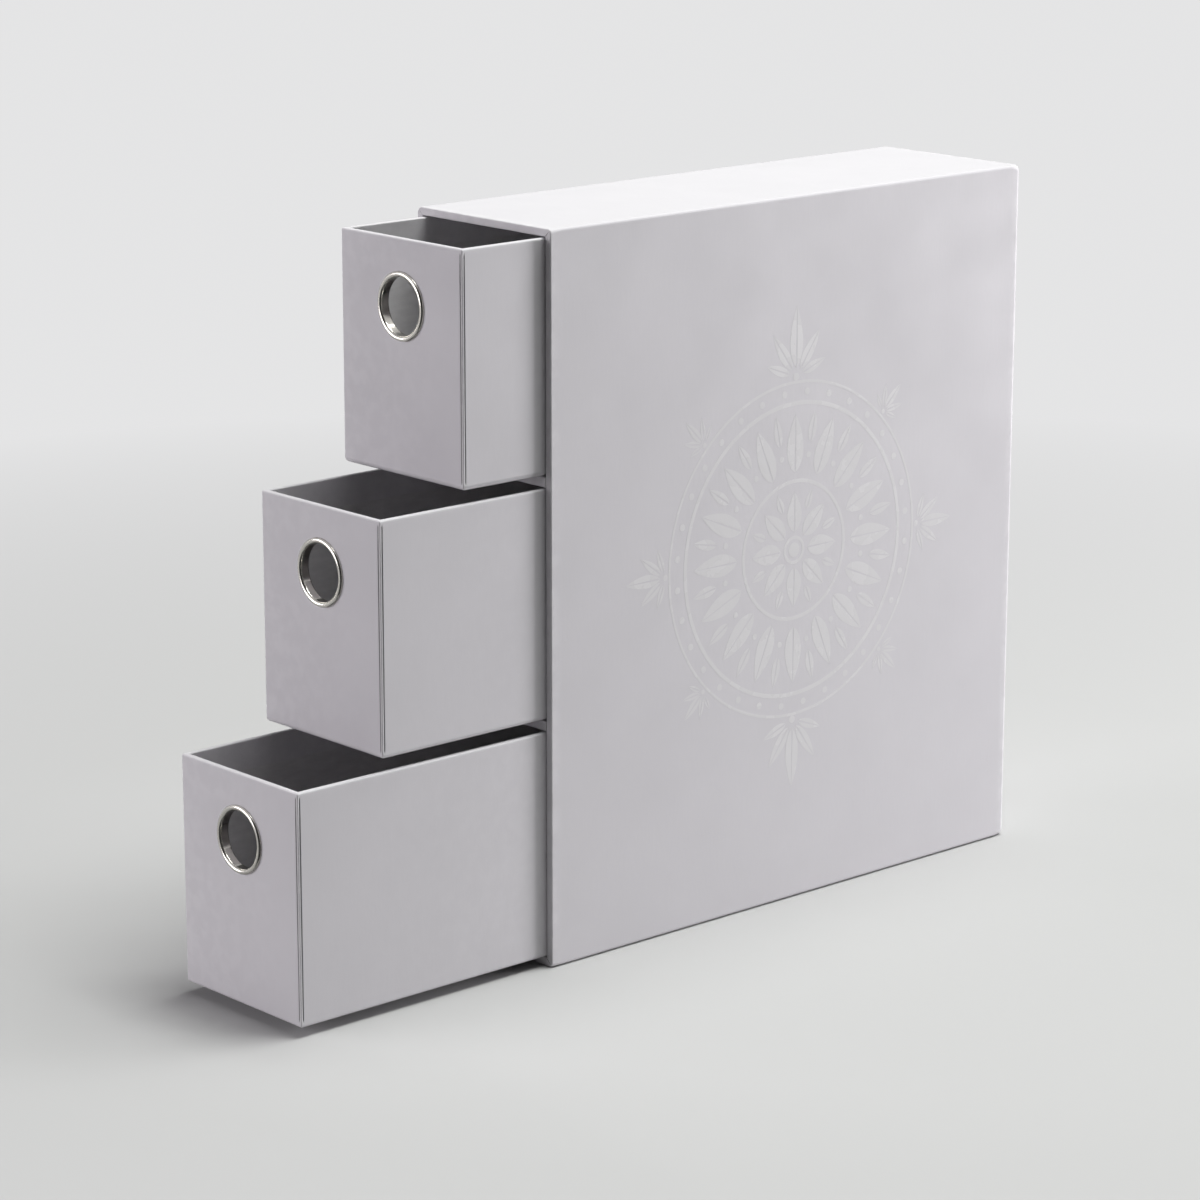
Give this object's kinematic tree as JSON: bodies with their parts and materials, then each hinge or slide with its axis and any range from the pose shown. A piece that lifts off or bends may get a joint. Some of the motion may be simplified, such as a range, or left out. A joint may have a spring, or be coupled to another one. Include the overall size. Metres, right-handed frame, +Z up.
{
  "type": "card drawer box",
  "caption": "Tall case of paper-wrapped board, open at the front, with stacked open-topped drawers for trading cards; each drawer slides out by a metal eyelet finger hole.",
  "frame": {"origin": "middle of the face that the case stands on", "axes": "+Z up; the drawers slide out towards -Y; +X is to the right of someone who faces the drawers, and the large side panel that the picture shows looks along it"},
  "size_m": [0.083, 0.4077, 0.31],
  "materials": {
    "greyboard": "matte",
    "wrap_paper": "matte",
    "lining_paper": "matte",
    "nickel_plate": "polished",
    "washer_steel": "plated"
  },
  "bodies": {
    "case": {"case_left_board": "greyboard", "case_right_board": "greyboard", "case_top_board": "greyboard", "case_bottom_board": "greyboard", "case_back_board": "greyboard", "lower_shelf_board": "greyboard", "upper_shelf_board": "greyboard", "lower_shelf_edge_paper": "wrap_paper", "upper_shelf_edge_paper": "wrap_paper", "case_base_sheet": "wrap_paper", "case_back_paper": "wrap_paper", "case_wrap": "wrap_paper", "bottom_bay_lining": "lining_paper", "middle_bay_lining": "lining_paper", "top_bay_lining": "lining_paper"},
    "bottom_drawer": {"bottom_drawer_front_board": "greyboard", "bottom_drawer_back_board": "greyboard", "bottom_drawer_left_board": "greyboard", "bottom_drawer_right_board": "greyboard", "bottom_drawer_bottom_board": "greyboard", "bottom_drawer_wrap": "wrap_paper", "bottom_drawer_lining": "lining_paper", "bottom_drawer_eyelet": "nickel_plate", "bottom_drawer_eyelet_washer": "washer_steel"},
    "middle_drawer": {"middle_drawer_front_board": "greyboard", "middle_drawer_back_board": "greyboard", "middle_drawer_left_board": "greyboard", "middle_drawer_right_board": "greyboard", "middle_drawer_bottom_board": "greyboard", "middle_drawer_wrap": "wrap_paper", "middle_drawer_lining": "lining_paper", "middle_drawer_eyelet": "nickel_plate", "middle_drawer_eyelet_washer": "washer_steel"},
    "top_drawer": {"top_drawer_front_board": "greyboard", "top_drawer_back_board": "greyboard", "top_drawer_left_board": "greyboard", "top_drawer_right_board": "greyboard", "top_drawer_bottom_board": "greyboard", "top_drawer_wrap": "wrap_paper", "top_drawer_lining": "lining_paper", "top_drawer_eyelet": "nickel_plate", "top_drawer_eyelet_washer": "washer_steel"}
  },
  "joints": [
    {"name": "bottom_drawer_slide", "type": "slide", "parent": "case", "child": "bottom_drawer", "axis": [0, -1, 0], "range_m": [-0.129, 0.1494]},
    {"name": "middle_drawer_slide", "type": "slide", "parent": "case", "child": "middle_drawer", "axis": [0, -1, 0], "range_m": [-0.086, 0.1924]},
    {"name": "top_drawer_slide", "type": "slide", "parent": "case", "child": "top_drawer", "axis": [0, -1, 0], "range_m": [-0.043, 0.2354]}
  ]
}
